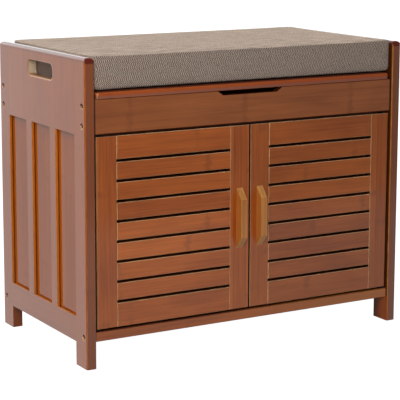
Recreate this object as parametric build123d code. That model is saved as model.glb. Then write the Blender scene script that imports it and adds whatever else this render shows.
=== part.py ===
from build123d import *
import math
import os

# Storage bench in varnished bamboo: two framed sides, a lift-up padded lid over
# a shallow compartment, and a cupboard with two louvred doors.
# Millimetres. X runs to the right, Y to the back, Z up from the floor.
# The origin is the middle of the whole bench on the floor, handles included.

# Overall sizes
bench_width = 600.0
side_depth = 325.0
bench_height = 490.0

# Framed sides
side_thickness = 17.0
stile_width = 38.5
top_board_height = 121.0
side_rail_height = 41.0
leg_clearance = 38.0
mullion_width = 22.0
window_count = 3
over_top_radius = 6.5
top_corner_radius = 8.5
upright_radius = 3.0
window_bevel = 0.6
frame_tenon_length = 17.0
frame_tenon_height = 24.0
frame_tenon_shoulder = 9.0

# Thin panels let into grooves around the windows
panel_recess = 5.0
panel_thickness = 7.0
panel_tongue = 6.0
groove_slack = 0.5
panel_shadow_gap = 1.2

# Hand slots through the top boards
slot_length = 92.0
slot_height = 24.5
slot_corner = 9.0
slot_drop = 20.0
slot_round = 2.5
least_flat = 1.0

# Rails between the sides
front_setback = 3.5
rear_setback = 6.0
rail_thickness = 15.0
apron_height = 55.0
board_ease = 1.2
floor_rail_height = 16.0
floor_rail_depth = 25.0
floor_rail_clearance = 42.5
rebate_width = 10.0
bottom_board_thickness = 9.0

# Finger notch in the top edge of the apron
notch_length = 125.0
notch_depth = 8.0
notch_end_run = 11.0
notch_corner = 5.0

# Boards inside
compartment_floor_thickness = 6.0
stop_rail_height = 24.0
stop_rail_depth = 15.0
door_stop_gap = 0.5
cleat_height = 18.0
cleat_depth = 15.0
back_panel_thickness = 5.0
back_panel_tongue = 3.0
back_groove_slack = 0.3
shelf_thickness = 12.0
shelf_level = 206.0
shelf_clearance = 1.0
shelf_edge_gap = 2.0
shelf_pin_radius = 2.5
shelf_pin_inset = 26.0
shelf_pin_seat = 8.0
shelf_pin_reach = 10.0

# Joint bolts with barrel nuts, and dowels
bolt_radius = 3.0
bolt_hole_slack = 0.2
bolt_head_radius = 4.5
bolt_head_height = 4.0
bolt_head_sink = 1.5
bolt_head_slack = 0.3
bolt_socket_radius = 2.4
bolt_socket_depth = 2.5
bolt_reach = 36.0
bolt_end_space = 1.0
bolt_top_inset = 10.5
bolt_spacing = 31.0
pivot_bolt_web = 0.8
barrel_nut_radius = 5.0
barrel_nut_length = 12.0
barrel_nut_inset = 28.0
dowel_radius = 3.0
dowel_side_seat = 10.0
dowel_rail_seat = 20.0

# Doors
door_thickness = 15.0
door_stile_width = 36.0
door_top_rail_height = 37.2
door_bottom_rail_height = 38.6
door_side_gap = 3.0
door_centre_gap = 2.5
door_top_gap = 3.6
door_front_round = 3.5
slat_count = 7
slat_gap = 4.4
slat_thickness = 12.0
slat_bevel = 0.8
slat_tenon_length = 12.0
slat_tenon_thickness = 6.0
slat_tenon_shoulder = 3.0

# Door pivots
pivot_edge_distance = 7.0
pivot_radius = 2.5
pivot_stile_seat = 20.0
pivot_running_clearance = 0.05
pivot_end_clearance = 0.5
bush_wall = 1.5
bush_seat = 4.0
bush_collar_radius = 6.0
bush_collar_height = 3.2
door_seat_clearance = 0.3

# Door catches
magnet_radius = 5.0
magnet_length = 6.0
catch_plate_radius = 6.0
catch_plate_thickness = 1.5

# Door handles
handle_length = 100.0
handle_front_length = 63.0
handle_projection = 16.0
handle_width = 12.0
handle_bevel = 0.8
handle_screw_spacing = 34.0
handle_screw_radius = 2.0
handle_screw_head_radius = 3.8
handle_screw_head_depth = 2.2
handle_screw_grip = 10.0

# Lid and its hinges
lid_thickness = 12.0
lid_side_gap = 5.0
lid_edge_radius = 5.5
lid_corner_radius = 5.0
hinge_length = 50.0
hinge_inset = 100.0
hinge_leaf_thickness = 1.2
hinge_leaf_width = 24.0
knuckle_radius = 2.5
knuckle_count = 5
knuckle_side_gap = 0.15
knuckle_clearance = 0.4
hinge_pin_radius = 1.3
hinge_running_clearance = 0.05
hinge_lid_clearance = 0.2
hinge_screw_count = 3
hinge_screw_pitch = 17.0
hinge_screw_radius = 1.4
hinge_screw_head_radius = 2.6
hinge_screw_length = 9.0

# Cushion on the lid
cushion_wall = 52.0
cushion_rim_rise = 1.5
cushion_crown = 3.5
cushion_side_gap = 2.0
cushion_front_gap = 1.0
cushion_rear_gap = 6.0
cushion_front_corner = 6.0
cushion_rear_corner = 9.0
cushion_bottom_round = 7.0
cushion_top_round = 4.5
cushion_draw_in = 1.5
cushion_crown_rings = 4
strip_thickness = 1.5
strip_width = 25.0
strip_length = 180.0
strip_count = 3

# Limits along X
half_width = bench_width / 2
inner_half = half_width - side_thickness

# Limits along Y
overall_depth = side_depth + handle_projection - front_setback
rear_y = overall_depth / 2
front_y = rear_y - side_depth
door_front = front_y + front_setback
door_back = door_front + door_thickness
apron_back = door_front + rail_thickness
rear_rail_back = rear_y - rear_setback
rear_rail_front = rear_rail_back - rail_thickness
stop_rail_front = max(door_back + door_stop_gap, apron_back)
stop_rail_back = stop_rail_front + stop_rail_depth
cleat_front = rear_rail_front - cleat_depth
window_front = front_y + stile_width
window_rear = rear_y - stile_width
window_width = (window_rear - window_front - (window_count - 1) * mullion_width) / window_count
front_bolt_y = door_front + rail_thickness / 2
rear_bolt_y = rear_rail_back - rail_thickness / 2
pivot_y = door_front + door_thickness / 2
back_panel_y = rear_rail_front + (rail_thickness - back_panel_thickness) / 2
hinge_y = rear_rail_back + knuckle_clearance + knuckle_radius

# Levels along Z
window_bottom = leg_clearance + side_rail_height
window_top = bench_height - top_board_height
cushion_bottom = bench_height + cushion_rim_rise - cushion_wall
lid_top = cushion_bottom - strip_thickness
lid_bottom = lid_top - lid_thickness
apron_bottom = lid_bottom - apron_height
floor_rail_top = floor_rail_clearance + floor_rail_height
bottom_board_bottom = floor_rail_top - bottom_board_thickness
door_bottom = floor_rail_top + bush_collar_height + door_seat_clearance
door_top = apron_bottom - door_top_gap
door_middle = (door_bottom + door_top) / 2
compartment_floor_top = apron_bottom + compartment_floor_thickness
stop_rail_bottom = apron_bottom - stop_rail_height
upper_bolt_z = lid_bottom - bolt_top_inset
middle_bolt_z = upper_bolt_z - bolt_spacing
lower_bolt_z = floor_rail_top - bush_seat - pivot_bolt_web - bolt_hole_slack - bolt_radius
catch_z = (stop_rail_bottom + door_top) / 2
hinge_z = lid_bottom + hinge_lid_clearance + hinge_leaf_thickness - knuckle_radius

# Door widths
door_outer_x = -(inner_half - door_side_gap)
door_inner_x = -door_centre_gap / 2
louvre_outer_x = door_outer_x + door_stile_width
louvre_inner_x = door_inner_x - door_stile_width
inner_stile_x = door_inner_x - door_stile_width / 2
pivot_x = door_outer_x + pivot_edge_distance
louvre_height = door_top - door_bottom - door_top_rail_height - door_bottom_rail_height
slat_height = (louvre_height - (slat_count + 1) * slat_gap) / slat_count

near = 0.01
RIGHT = Vector(1, 0, 0)
BACK = Vector(0, 1, 0)
FRONT = Vector(0, -1, 0)
UP = Vector(0, 0, 1)
DOWN = Vector(0, 0, -1)


def block(x, y, z):
    """Box between a pair of limits along each axis."""
    spans = (x, y, z)
    middle = [(low + high) / 2 for low, high in spans]
    size = [abs(high - low) for low, high in spans]
    return Pos(*middle) * Box(*size)


def rod(start, direction, radius, length):
    """Round bar that runs from a point along a direction."""
    base = Plane(origin=start, z_dir=direction)
    return base * Cylinder(radius, length, align=(Align.CENTER, Align.CENTER, Align.MIN))


def cone(start, direction, first_radius, last_radius, length):
    """Round taper that runs from a point along a direction."""
    base = Plane(origin=start, z_dir=direction)
    return base * Cone(first_radius, last_radius, length, align=(Align.CENTER, Align.CENTER, Align.MIN))


def group(solids):
    """Several separate solids as one piece of the list."""
    return Part() + list(solids)


def mirrored(shape):
    """The same shape on the other side of the bench."""
    return mirror(shape, about=Plane.YZ)


def both_sides(shape):
    """A left-hand shape together with its right-hand twin."""
    return group([shape, mirrored(shape)])


def eased_board(x, y, z, ease):
    """Board whose front face is bevelled all round."""
    board = block(x, y, z)
    front_face = board.faces().sort_by(Axis.Y)[0]
    return chamfer(front_face.edges(), ease)


def side_slab():
    """Whole left side before it is divided, rounded over its top and upright edges."""
    over_top = min(over_top_radius, (side_thickness - least_flat) / 2)
    middle_x = -half_width + side_thickness / 2
    middle_y = (front_y + rear_y) / 2
    end_view = Pos(middle_x, bench_height / 2) * Rectangle(side_thickness, bench_height)
    end_view = fillet(end_view.vertices().group_by(Axis.Y)[-1], over_top)
    side_view = Pos(middle_y, bench_height / 2) * Rectangle(side_depth, bench_height)
    side_view = fillet(side_view.vertices().group_by(Axis.Y)[-1], top_corner_radius)
    top_view = Pos(middle_x, middle_y) * Rectangle(side_thickness, side_depth)
    top_view = fillet(top_view.vertices(), upright_radius)
    slab = extrude(Plane.XZ * end_view, amount=overall_depth, both=True)
    slab = slab & extrude(Plane.YZ * side_view, amount=bench_width, both=True)
    return slab & extrude(top_view, amount=bench_height)


def window_limits(index):
    """Front and rear limits of one window in the side."""
    start = window_front + index * (window_width + mullion_width)
    return start, start + window_width


def window_cutter(index):
    """Bevelled mouth of one window and the groove that its panel sits in."""
    start, end = window_limits(index)
    mouth_plane = Plane(
        origin=(-half_width, (start + end) / 2, (window_bottom + window_top) / 2),
        x_dir=BACK,
        z_dir=RIGHT,
    )
    mouth = Rectangle(end - start + 2 * window_bevel, window_top - window_bottom + 2 * window_bevel)
    bevel = extrude(mouth_plane * mouth, amount=window_bevel, taper=45)
    reach = panel_tongue + groove_slack
    groove = block(
        (-half_width + panel_recess - panel_shadow_gap, -half_width + panel_recess + panel_thickness),
        (start - reach, end + reach),
        (window_bottom - reach, window_top + reach),
    )
    return bevel + groove


def window_panel(index):
    """Thin panel with its edges in the grooves."""
    start, end = window_limits(index)
    return block(
        (-half_width + panel_recess, -half_width + panel_recess + panel_thickness),
        (start - panel_tongue, end + panel_tongue),
        (window_bottom - panel_tongue, window_top + panel_tongue),
    )


def frame_tenons(level, slack):
    """Stub tenons on both ends of a side rail, starting at a level."""
    x = (-half_width + panel_recess, -half_width + panel_recess + panel_thickness)
    z = (level, level + frame_tenon_height)
    length = frame_tenon_length + slack
    return block(x, (window_front - length, window_front), z) + block(x, (window_rear, window_rear + length), z)


def hand_slot(board):
    """Cut the rounded hand slot and soften both of its rims."""
    slot_z = bench_height - slot_drop - slot_height / 2
    slot_plane = Plane(origin=(-half_width, (front_y + rear_y) / 2, slot_z), x_dir=BACK, z_dir=RIGHT)
    outline = RectangleRounded(slot_length, slot_height, slot_corner)
    opening = extrude(slot_plane * outline, amount=side_thickness)
    board = board - opening
    reach = opening.bounding_box()
    rims = [
        edge
        for edge in board.edges()
        if max(abs(edge.center().X + half_width), abs(edge.center().X + inner_half)) > side_thickness - near
        and reach.min.Y - near < edge.center().Y < reach.max.Y + near
        and reach.min.Z - near < edge.center().Z < reach.max.Z + near
    ]
    return fillet(rims, min(slot_round, (side_thickness - least_flat) / 2))


def joint_bolt(y, z):
    """Socket-head bolt that enters the left side from outside."""
    head_start = Vector(-half_width + bolt_head_sink, y, z)
    head_end = head_start + RIGHT * bolt_head_height
    length = side_thickness - bolt_head_sink - bolt_head_height + bolt_reach
    socket_plane = Plane(origin=head_start, x_dir=BACK, z_dir=RIGHT)
    socket = extrude(socket_plane * RegularPolygon(bolt_socket_radius, 6), amount=bolt_socket_depth)
    head = rod(head_start, RIGHT, bolt_head_radius, bolt_head_height)
    return head + rod(head_end, RIGHT, bolt_radius, length) - socket


def bolt_way(y, z):
    """Counterbore and hole for a joint bolt, through the side and into the rail's end."""
    mouth = Vector(-half_width, y, z)
    sink = bolt_head_sink + bolt_head_height
    depth = side_thickness + bolt_reach + bolt_end_space
    counterbore = rod(mouth, RIGHT, bolt_head_radius + bolt_head_slack, sink)
    return counterbore + rod(mouth, RIGHT, bolt_radius + bolt_hole_slack, depth)


def barrel_nut(start, direction, bolt_y, bolt_z):
    """Cross-drilled barrel nut, let into a rail from one of its hidden faces."""
    nut = rod(start, direction, barrel_nut_radius, barrel_nut_length)
    thread_start = Vector(-half_width, bolt_y, bolt_z)
    return nut - rod(thread_start, RIGHT, bolt_radius, half_width)


def countersunk_screw(start, direction, head_radius, radius, head_depth, length):
    """Flat-headed screw, head first."""
    head = cone(start, direction, head_radius, radius, head_depth)
    return head + rod(start, direction, radius, length)


# Joint bolts and nuts on the left, in pairs of places
nut_x = -inner_half + barrel_nut_inset
apron_nut_y = apron_back
rear_nut_y = rear_rail_front
bolt_places = [(y, z) for y in (front_bolt_y, rear_bolt_y) for z in (upper_bolt_z, middle_bolt_z, lower_bolt_z)]
left_bolts = [joint_bolt(y, z) for y, z in bolt_places]
left_bolt_ways = group([bolt_way(y, z) for y, z in bolt_places])
left_nuts = []
for level in (upper_bolt_z, middle_bolt_z):
    left_nuts.append(barrel_nut((nut_x, apron_nut_y, level), FRONT, front_bolt_y, level))
    left_nuts.append(barrel_nut((nut_x, rear_nut_y, level), BACK, rear_bolt_y, level))
for bolt_y in (front_bolt_y, rear_bolt_y):
    left_nuts.append(barrel_nut((nut_x, bolt_y, floor_rail_clearance), UP, bolt_y, lower_bolt_z))
nut_seats = [rod((nut_x, apron_nut_y, level), FRONT, barrel_nut_radius, barrel_nut_length)
             for level in (upper_bolt_z, middle_bolt_z)]
nut_seats += [rod((nut_x, rear_nut_y, level), BACK, barrel_nut_radius, barrel_nut_length)
              for level in (upper_bolt_z, middle_bolt_z)]
nut_seats += [rod((nut_x, bolt_y, floor_rail_clearance), UP, barrel_nut_radius, barrel_nut_length)
              for bolt_y in (front_bolt_y, rear_bolt_y)]
rail_bores = both_sides(left_bolt_ways + nut_seats)

# Dowels in the ends of the stop rail and the cleat
dowel_places = [
    ((stop_rail_front + stop_rail_back) / 2, (stop_rail_bottom + apron_bottom) / 2),
    ((cleat_front + rear_rail_front) / 2, apron_bottom - cleat_height / 2),
]
left_dowels = group([
    rod((-inner_half - dowel_side_seat, y, z), RIGHT, dowel_radius, dowel_side_seat + dowel_rail_seat)
    for y, z in dowel_places
])

# Shelf pins in the stiles
left_shelf_pins = group([
    rod((-inner_half - shelf_pin_seat, y, shelf_level - shelf_pin_radius), RIGHT, shelf_pin_radius,
        shelf_pin_seat + shelf_pin_reach)
    for y in (front_y + shelf_pin_inset, rear_y - shelf_pin_inset)
])

# Back panel and its groove
back_panel = block(
    (-inner_half - back_panel_tongue, inner_half + back_panel_tongue),
    (back_panel_y, back_panel_y + back_panel_thickness),
    (floor_rail_top - back_panel_tongue, apron_bottom + back_panel_tongue),
)
back_reach = back_panel_tongue + back_groove_slack
back_groove = block(
    (-inner_half - back_reach, inner_half + back_reach),
    (back_panel_y, back_panel_y + back_panel_thickness),
    (floor_rail_top - back_reach, apron_bottom + back_reach),
)

nodes = {}


def make_sides():
    """Nine pieces of each framed side, the left one made and the right one mirrored."""
    slab = side_slab()
    windows = group([window_cutter(index) for index in range(window_count)])
    low_tenon = leg_clearance + (side_rail_height - frame_tenon_height) / 2
    high_tenons = (window_top + frame_tenon_shoulder, bench_height - slot_drop - frame_tenon_height)
    tenon_levels = (low_tenon,) + high_tenons
    mortises = group([frame_tenons(level, groove_slack) for level in tenon_levels])
    inside_cuts = group([left_bolt_ways, left_dowels, left_shelf_pins, back_groove])
    x = (-half_width, -inner_half)
    between = (window_front, window_rear)

    stile_spans = {"front": (front_y, window_front), "rear": (window_rear, rear_y)}
    pieces = {}
    for name, span in stile_spans.items():
        stile = slab & block(x, span, (0, bench_height))
        pieces[f"side_{name}_stile"] = stile - windows - mortises - inside_cuts

    top_board = slab & block(x, between, (window_top, bench_height))
    top_board = hand_slot(top_board - windows)
    pieces["side_top_board"] = top_board + [frame_tenons(level, 0) for level in high_tenons]
    bottom_rail = slab & block(x, between, (leg_clearance, window_bottom))
    pieces["side_bottom_rail"] = bottom_rail - windows + frame_tenons(low_tenon, 0)

    mullion_names = ("front", "rear")
    for index, name in enumerate(mullion_names):
        start = window_limits(index)[1]
        mullion = slab & block(x, (start, start + mullion_width), (window_bottom, window_top))
        pieces[f"side_{name}_mullion"] = mullion - windows

    panel_names = ("front", "middle", "rear")
    for index, name in enumerate(panel_names):
        pieces[f"side_{name}_panel"] = window_panel(index)

    for name, piece in pieces.items():
        nodes[f"left_{name}"] = piece
        nodes[f"right_{name}"] = mirrored(piece)


def finger_notch():
    """Shallow notch with slanted ends, cut down from the apron's top edge."""
    half_top = notch_length / 2
    half_floor = half_top - notch_end_run
    outline = Polygon(
        (-half_top, 0),
        (-half_floor, -notch_depth),
        (half_floor, -notch_depth),
        (half_top, 0),
        align=None,
    )
    outline = fillet(outline.vertices().group_by(Axis.Y)[0], notch_corner)
    notch_plane = Plane(origin=(0, door_front, lid_bottom), x_dir=RIGHT, z_dir=BACK)
    return extrude(notch_plane * mirror(outline, Plane.XZ), amount=rail_thickness)


def pivot_bush(start, direction):
    """Flanged sleeve for a door pivot: the sleeve in the rail, the collar proud of it."""
    outer_radius = pivot_radius + pivot_running_clearance + bush_wall
    sleeve = rod(start, direction, outer_radius, bush_seat)
    collar = rod(start, -direction, bush_collar_radius, bush_collar_height)
    bore_start = Vector(start) - direction * bush_collar_height
    bore = rod(bore_start, direction, pivot_radius + pivot_running_clearance, bush_collar_height + bush_seat)
    return sleeve + collar - bore


def bush_socket(start, direction):
    """Socket in a rail for the sleeve of a pivot bush."""
    return rod(start, direction, pivot_radius + pivot_running_clearance + bush_wall, bush_seat)


def make_rails():
    """Apron, rails, floors and back between the sides."""
    across = (-inner_half, inner_half)
    upper_bush = (pivot_x, pivot_y, apron_bottom)
    lower_bush = (pivot_x, pivot_y, floor_rail_top)

    apron = eased_board(across, (door_front, apron_back), (apron_bottom, lid_bottom), board_ease)
    apron = apron - finger_notch() - rail_bores
    nodes["front_apron"] = apron - both_sides(bush_socket(upper_bush, UP))

    rear_rail = block(across, (rear_rail_front, rear_rail_back), (apron_bottom, lid_bottom))
    nodes["rear_top_rail"] = rear_rail - rail_bores - back_groove

    front_rail_y = (door_front, door_front + floor_rail_depth)
    rear_rail_y = (rear_rail_back - floor_rail_depth, rear_rail_back)
    floor_rail_z = (floor_rail_clearance, floor_rail_top)
    bottom_board = block(
        across,
        (front_rail_y[1] - rebate_width, rear_rail_y[0] + rebate_width),
        (bottom_board_bottom, floor_rail_top),
    )
    front_rail = eased_board(across, front_rail_y, floor_rail_z, board_ease) - rail_bores - bottom_board
    nodes["front_bottom_rail"] = front_rail - both_sides(bush_socket(lower_bush, DOWN))
    rear_rail = block(across, rear_rail_y, floor_rail_z) - rail_bores - bottom_board
    nodes["rear_bottom_rail"] = rear_rail - back_groove
    nodes["bottom_board"] = bottom_board
    nodes["back_panel"] = back_panel

    dowel_holes = both_sides(left_dowels)
    magnet_start = Vector(inner_stile_x, stop_rail_front, catch_z)
    magnet = rod(magnet_start, BACK, magnet_radius, magnet_length)
    stop_rail = block(across, (stop_rail_front, stop_rail_back), (stop_rail_bottom, apron_bottom))
    nodes["door_stop_rail"] = stop_rail - dowel_holes - both_sides(magnet)
    nodes["door_magnets"] = both_sides(magnet)
    cleat = block(across, (cleat_front, rear_rail_front), (apron_bottom - cleat_height, apron_bottom))
    nodes["rear_floor_cleat"] = cleat - dowel_holes
    nodes["rail_dowels"] = dowel_holes
    nodes["compartment_floor"] = block(
        across, (apron_back, rear_rail_front), (apron_bottom, compartment_floor_top)
    )

    shelf_half = inner_half - shelf_clearance
    nodes["middle_shelf"] = eased_board(
        (-shelf_half, shelf_half),
        (door_back + shelf_edge_gap, back_panel_y - shelf_edge_gap),
        (shelf_level, shelf_level + shelf_thickness),
        board_ease,
    )
    nodes["shelf_pins"] = both_sides(left_shelf_pins)
    nodes["side_bolts"] = both_sides(group(left_bolts))
    nodes["barrel_nuts"] = both_sides(group(left_nuts))
    nodes["pivot_bushes"] = both_sides(pivot_bush(upper_bush, UP) + pivot_bush(lower_bush, DOWN))


def louvre_board(z):
    """Horizontal door board between the stiles, with a stub tenon at each end."""
    board = eased_board(
        (louvre_outer_x, louvre_inner_x), (door_front, door_front + slat_thickness), z, slat_bevel
    )
    return board + louvre_tenons(z, 0)


def louvre_tenons(z, slack):
    """Stub tenons at both ends of a horizontal door board."""
    y_middle = door_front + slat_thickness / 2
    y = (y_middle - slat_tenon_thickness / 2, y_middle + slat_tenon_thickness / 2)
    z = (z[0] + slat_tenon_shoulder, z[1] - slat_tenon_shoulder)
    length = slat_tenon_length + slack
    outer = block((louvre_outer_x - length, louvre_outer_x), y, z)
    inner = block((louvre_inner_x, louvre_inner_x + length), y, z)
    return outer + inner


def door_handle():
    """Bar handle with slanted ends."""
    profile = Polygon(
        (0, handle_length / 2),
        (-handle_projection, handle_front_length / 2),
        (-handle_projection, -handle_front_length / 2),
        (0, -handle_length / 2),
        align=None,
    )
    bar_plane = Plane(origin=(inner_stile_x, door_front, door_middle), x_dir=BACK, z_dir=RIGHT)
    bar = extrude(bar_plane * profile, amount=handle_width / 2, both=True)
    base = bar.faces().sort_by(Axis.Y)[-1]
    base_edges = base.edges()
    outer_edges = [edge for edge in bar.edges() if edge not in base_edges]
    return chamfer(outer_edges, handle_bevel)


def make_doors():
    """Nine pieces of each louvred door, the left one made and the right one mirrored."""
    y = (door_front, door_back)
    z = (door_bottom, door_top)
    top_rail_z = (door_top - door_top_rail_height, door_top)
    bottom_rail_z = (door_bottom, door_bottom + door_bottom_rail_height)
    slat_levels = []
    for index in range(slat_count):
        start = bottom_rail_z[1] + slat_gap + index * (slat_height + slat_gap)
        slat_levels.append((start, start + slat_height))
    board_levels = [top_rail_z, bottom_rail_z] + slat_levels
    mortises = group([louvre_tenons(level, groove_slack) for level in board_levels])

    pin_length = pivot_stile_seat + bush_seat - pivot_end_clearance
    upper_end = (pivot_x, pivot_y, door_top - pivot_stile_seat)
    lower_end = (pivot_x, pivot_y, door_bottom + pivot_stile_seat)
    upper_pin = rod(upper_end, UP, pivot_radius, pin_length + door_top_gap)
    lower_pin = rod(lower_end, DOWN, pivot_radius, pin_length + door_bottom - floor_rail_top)
    pins = upper_pin + lower_pin

    plan = Pos((door_outer_x + louvre_outer_x) / 2, (door_front + door_back) / 2) * Rectangle(
        door_stile_width, door_thickness
    )
    front_corner = plan.vertices().group_by(Axis.X)[0].sort_by(Axis.Y)[0]
    plan = fillet(front_corner, door_front_round)
    back_corner = plan.vertices().group_by(Axis.X)[0].sort_by(Axis.Y)[-1]
    plan = fillet(back_corner, min(pivot_edge_distance, door_thickness / 2))
    rounded = Pos(0, 0, door_bottom) * extrude(plan, amount=door_top - door_bottom)
    outer_stile = eased_board((door_outer_x, louvre_outer_x), y, z, slat_bevel) & rounded

    screws = []
    for offset in (-handle_screw_spacing / 2, handle_screw_spacing / 2):
        screws.append(countersunk_screw(
            (inner_stile_x, door_back, door_middle + offset), FRONT, handle_screw_head_radius,
            handle_screw_radius, handle_screw_head_depth, door_thickness + handle_screw_grip,
        ))
    screws = group(screws)
    plate_start = (inner_stile_x, door_back, catch_z)
    plate = rod(plate_start, FRONT, catch_plate_radius, catch_plate_thickness)
    inner_stile = eased_board((louvre_inner_x, door_inner_x), y, z, slat_bevel)

    pieces = {
        "outer_stile": outer_stile - mortises - pins,
        "inner_stile": inner_stile - mortises - screws - plate,
        "top_rail": louvre_board(top_rail_z),
        "bottom_rail": louvre_board(bottom_rail_z),
        "slats": group([louvre_board(level) for level in slat_levels]),
        "handle": door_handle() - screws,
        "handle_screws": screws,
        "pivot_pins": pins,
        "catch_plate": plate,
    }
    for name, piece in pieces.items():
        nodes[f"left_door_{name}"] = piece
        nodes[f"right_door_{name}"] = mirrored(piece)


def hinge_parts(middle_x):
    """One butt hinge: rail leaf, lid leaf, pin, and the screws of both leaves."""
    x = (middle_x - hinge_length / 2, middle_x + hinge_length / 2)
    slot = hinge_length / knuckle_count
    rail_leaf = block(
        x, (rear_rail_back, rear_rail_back + hinge_leaf_thickness), (hinge_z - hinge_leaf_width, hinge_z)
    )
    leaf_z = lid_bottom + hinge_lid_clearance
    lid_leaf = block(x, (hinge_y - hinge_leaf_width, hinge_y), (leaf_z, leaf_z + hinge_leaf_thickness))

    for index in range(knuckle_count):
        start = x[0] + index * slot
        space = rod((start, hinge_y, hinge_z), RIGHT, knuckle_radius + knuckle_clearance, slot)
        barrel_start = (start + knuckle_side_gap, hinge_y, hinge_z)
        barrel = rod(barrel_start, RIGHT, knuckle_radius, slot - 2 * knuckle_side_gap)
        if index % 2 == 0:
            lid_leaf = lid_leaf - space
            rail_leaf = rail_leaf + barrel
        else:
            rail_leaf = rail_leaf - space
            lid_leaf = lid_leaf + barrel

    pin = rod((x[0], hinge_y, hinge_z), RIGHT, hinge_pin_radius, hinge_length)
    bore = rod((x[0], hinge_y, hinge_z), RIGHT, hinge_pin_radius + hinge_running_clearance, hinge_length)
    rail_screws = []
    lid_screws = []
    first = middle_x - (hinge_screw_count - 1) * hinge_screw_pitch / 2
    for index in range(hinge_screw_count):
        screw_x = first + index * hinge_screw_pitch
        screw_sizes = (hinge_screw_head_radius, hinge_screw_radius, hinge_leaf_thickness, hinge_screw_length)
        rail_start = (screw_x, rear_rail_back + hinge_leaf_thickness, hinge_z - hinge_leaf_width / 2)
        lid_start = (screw_x, hinge_y - hinge_leaf_width / 2, leaf_z)
        rail_screws.append(countersunk_screw(rail_start, FRONT, *screw_sizes))
        lid_screws.append(countersunk_screw(lid_start, UP, *screw_sizes))
    rail_screws = group(rail_screws)
    lid_screws = group(lid_screws)
    return {
        "rail_leaf": rail_leaf - pin - rail_screws,
        "lid_leaf": lid_leaf - bore - lid_screws,
        "pin": pin,
        "rail_screws": rail_screws,
        "lid_screws": lid_screws,
    }


def cushion_outline(level, inset):
    """Plan of the cushion at one level, with rounded corners and sides drawn in a little."""
    left = -(inner_half - cushion_side_gap) + inset
    right = -left
    front = door_front + cushion_front_gap + inset
    rear = rear_rail_back - cushion_rear_gap - inset
    front_cut = cushion_front_corner
    rear_cut = cushion_rear_corner
    middle_y = (front + rear) / 2
    corner_dip = 1 - math.sqrt(0.5)
    front_dip = front_cut * corner_dip
    rear_dip = rear_cut * corner_dip
    ends = [
        (left + front_cut, front),
        (right - front_cut, front),
        (right, front + front_cut),
        (right, rear - rear_cut),
        (right - rear_cut, rear),
        (left + rear_cut, rear),
        (left, rear - rear_cut),
        (left, front + front_cut),
    ]
    middles = [
        (0, front + cushion_draw_in),
        (right - front_dip, front + front_dip),
        (right - cushion_draw_in, middle_y),
        (right - rear_dip, rear - rear_dip),
        (0, rear - cushion_draw_in),
        (left + rear_dip, rear - rear_dip),
        (left + cushion_draw_in, middle_y),
        (left + front_dip, front + front_dip),
    ]
    with BuildSketch(Plane.XY.offset(level)) as outline:
        with BuildLine():
            for start, through, end in zip(ends, middles, ends[1:] + ends[:1]):
                ThreePointArc(start, through, end)
        make_face()
    return outline.sketch


def cushion_solid():
    """Box cushion: flat below, rounded at its edges, gently crowned on top."""
    rings = []
    for turn in (0, 45, 90):
        angle = math.radians(turn)
        level = cushion_bottom_round * (1 - math.cos(angle))
        rings.append((level, cushion_bottom_round * (1 - math.sin(angle))))
    for turn in (0, 45, 90):
        angle = math.radians(turn)
        level = cushion_wall - cushion_top_round * (1 - math.sin(angle))
        rings.append((level, cushion_top_round * (1 - math.cos(angle))))
    half_depth = (rear_rail_back - cushion_rear_gap - door_front - cushion_front_gap) / 2
    crown_run = half_depth - cushion_top_round - cushion_rear_corner - cushion_front_corner
    for index in range(1, cushion_crown_rings + 1):
        share = index / cushion_crown_rings
        rise = 1 - (1 - share) ** 2
        rings.append((cushion_wall + cushion_crown * rise, cushion_top_round + crown_run * share))
    return loft([cushion_outline(cushion_bottom + level, inset) for level, inset in rings], ruled=True)


def make_lid():
    """Lid board, its hinges, the cushion and the grip strips that hold it."""
    lid_half = inner_half - lid_side_gap
    lid_depth = rear_rail_back - door_front
    plan = RectangleRounded(2 * lid_half, lid_depth, lid_corner_radius)
    lid = Pos(0, (door_front + rear_rail_back) / 2, lid_bottom) * extrude(plan, amount=lid_thickness)
    lid = fillet(lid.faces().sort_by(Axis.Z)[-1].edges(), lid_edge_radius)

    hinge = hinge_parts(-(inner_half - hinge_inset))
    hinges = {name: both_sides(shape) for name, shape in hinge.items()}
    leaf_top = lid_bottom + hinge_lid_clearance + hinge_leaf_thickness
    leaf_seat = block(
        (-(inner_half - hinge_inset) - hinge_length / 2, -(inner_half - hinge_inset) + hinge_length / 2),
        (hinge_y - hinge_leaf_width, hinge_y),
        (lid_bottom, leaf_top),
    )
    nodes["lid_board"] = lid - both_sides(leaf_seat) - hinges["lid_screws"]
    nodes["rear_top_rail"] = nodes["rear_top_rail"] - hinges["rail_screws"]
    nodes["hinge_rail_leaves"] = hinges["rail_leaf"]
    nodes["hinge_lid_leaves"] = hinges["lid_leaf"]
    nodes["hinge_pins"] = hinges["pin"]
    nodes["hinge_rail_screws"] = hinges["rail_screws"]
    nodes["hinge_lid_screws"] = hinges["lid_screws"]

    strip_middle = (door_front + rear_rail_back) / 2
    strip_y = (strip_middle - strip_length / 2, strip_middle + strip_length / 2)
    strip_step = 2 * lid_half / strip_count
    strips = []
    for index in range(strip_count):
        strip_x = -lid_half + (index + 0.5) * strip_step
        strip_span = (strip_x - strip_width / 2, strip_x + strip_width / 2)
        strips.append(block(strip_span, strip_y, (lid_top, cushion_bottom)))
    nodes["cushion_grip_strips"] = group(strips)
    nodes["cushion"] = cushion_solid()


make_sides()
make_rails()
make_doors()
make_lid()

os.makedirs("parts", exist_ok=True)
for node_name, node_shape in nodes.items():
    export_step(node_shape, f"parts/{node_name}.step")
print(len(nodes), "pieces written")
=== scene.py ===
import functools
import itertools
import math

import bpy
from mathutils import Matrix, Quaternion, Vector


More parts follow.
